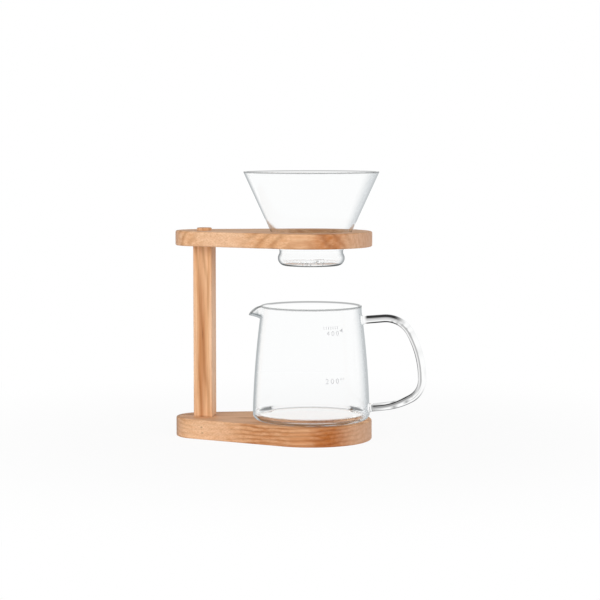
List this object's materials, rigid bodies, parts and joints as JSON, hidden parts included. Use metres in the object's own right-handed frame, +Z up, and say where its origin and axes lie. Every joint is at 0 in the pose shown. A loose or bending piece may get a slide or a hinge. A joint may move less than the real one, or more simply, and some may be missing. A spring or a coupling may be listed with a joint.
{
  "type": "pour-over dripper set",
  "caption": "Wooden pour-over stand with a flat-bottomed glass dripper seated in its upper board and a glass jug with spout and rod handle on its base.",
  "frame": {"origin": "underside of the base board, on the upright axis that the dripper and the jug share", "axes": "+Z up along that axis, +X towards the jug's handle with the post at -X, +Y across the stand"},
  "size_m": [0.2057, 0.1088, 0.216],
  "materials": {
    "wood": "pale beech with a thin clear finish",
    "steel": "plain steel",
    "clear_glass": "clear heat-resistant glass"
  },
  "bodies": {
    "stand": {"base_board": "wood", "post": "wood", "dripper_board": "wood", "base_screw": "steel"},
    "dripper": {"dripper": "clear_glass"},
    "jug": {"jug_body": "clear_glass", "jug_handle": "clear_glass"}
  },
  "joints": [
    {"name": "dripper_lift", "type": "slide", "parent": "stand", "child": "dripper", "axis": [0, 0, 1], "range_m": [0, 0.09]},
    {"name": "jug_slide", "type": "slide", "parent": "stand", "child": "jug", "axis": [1, 0, 0], "range_m": [0, 0.15]}
  ]
}
